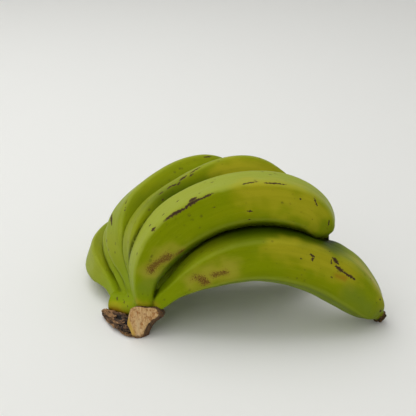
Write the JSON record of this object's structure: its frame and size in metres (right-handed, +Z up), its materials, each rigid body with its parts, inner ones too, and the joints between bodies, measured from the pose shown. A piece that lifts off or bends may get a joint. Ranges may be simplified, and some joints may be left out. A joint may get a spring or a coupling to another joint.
{
  "type": "hand of bananas",
  "caption": "Hand of green, unripe bananas lying curved side up, joined at a cut brown crown, arched fingers with soft ridges and short dark tips.",
  "frame": {"origin": "on the ground, in the middle of the hand's box in plan", "axes": "+X from the crown towards the tip of the front finger, +Y away from the viewer along the fan of fingers, +Z up"},
  "size_m": [0.2166, 0.1583, 0.1036],
  "materials": {
    "peel": "green waxy peel with soft sheen, dark scars and speckles",
    "crown_bark": "dry fibrous cut, tan on the face and dark brown where it has withered"
  },
  "bodies": {
    "root": {"banana_hand": "peel", "crown_pad": "crown_bark"}
  },
  "joints": []
}
